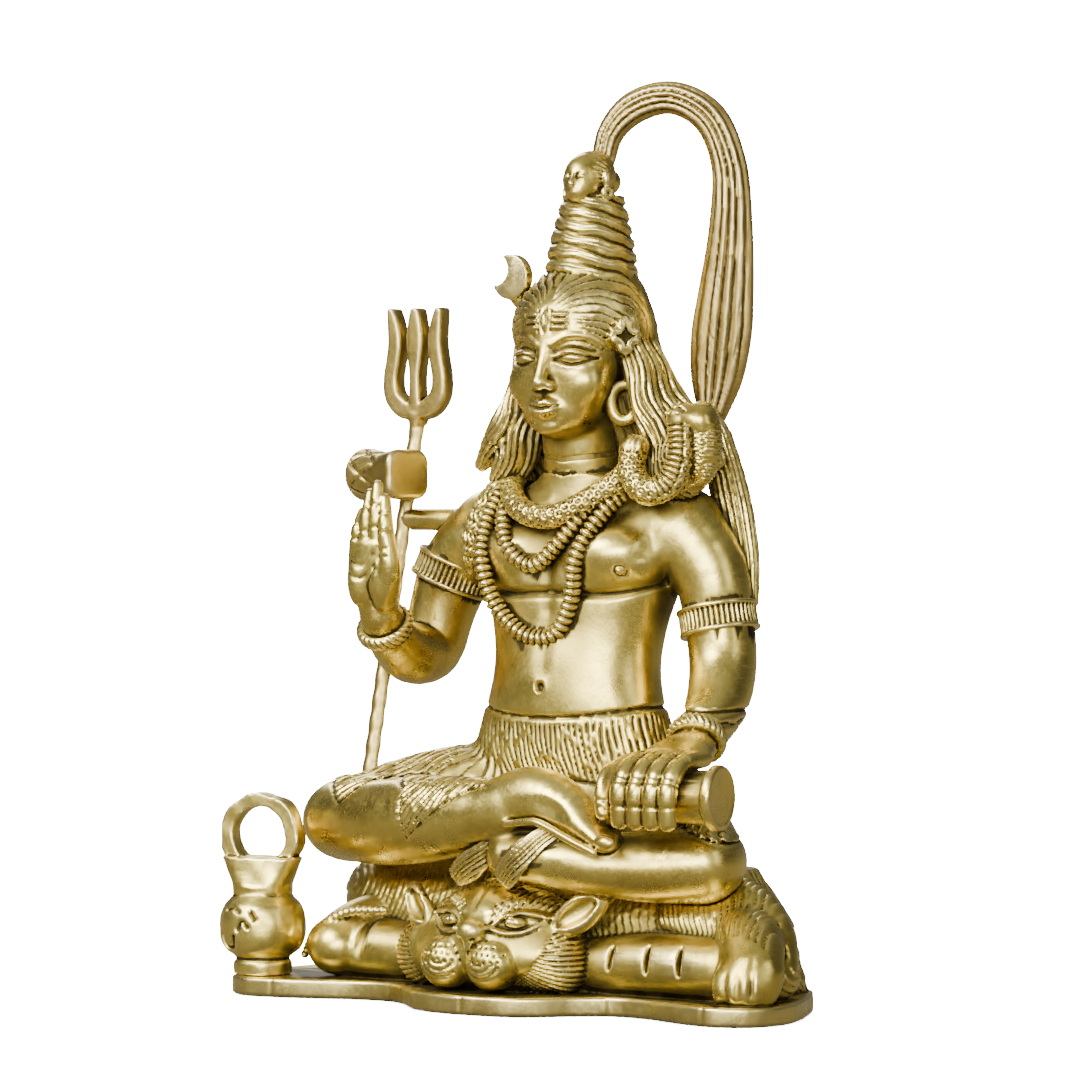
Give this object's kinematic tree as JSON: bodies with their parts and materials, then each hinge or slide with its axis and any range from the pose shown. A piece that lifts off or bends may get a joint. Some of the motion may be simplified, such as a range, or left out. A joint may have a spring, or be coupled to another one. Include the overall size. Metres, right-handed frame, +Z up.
{
  "type": "cast brass seated figure",
  "caption": "Cross-legged figure on a tiger skin, hand raised, with trident, hand drum, water pot, snake, and a stream arching from the hair knot; stands on a scalloped plate.",
  "frame": {"origin": "on the underside of the plate, below the upright axis of the figure", "axes": "+Z up; the figure looks along -Y; its left hand is on the +X side"},
  "size_m": [0.1892, 0.095, 0.2726],
  "materials": {
    "skin_brass": "satin cast brass, dark brown in the recesses of the fur",
    "figure_brass": "satin cast brass, bright on the high places, dark brown in the recesses",
    "stream_brass": "satin cast brass, dark in the flutes",
    "trident_brass": "satin cast brass with casting skin left between file strokes",
    "pot_brass": "satin cast brass, dark under the shoulder and foot"
  },
  "bodies": {
    "root": {"tiger_skin_base": "skin_brass", "figure": "figure_brass", "ganga_stream": "stream_brass", "trident": "trident_brass", "water_pot": "pot_brass"}
  },
  "joints": []
}
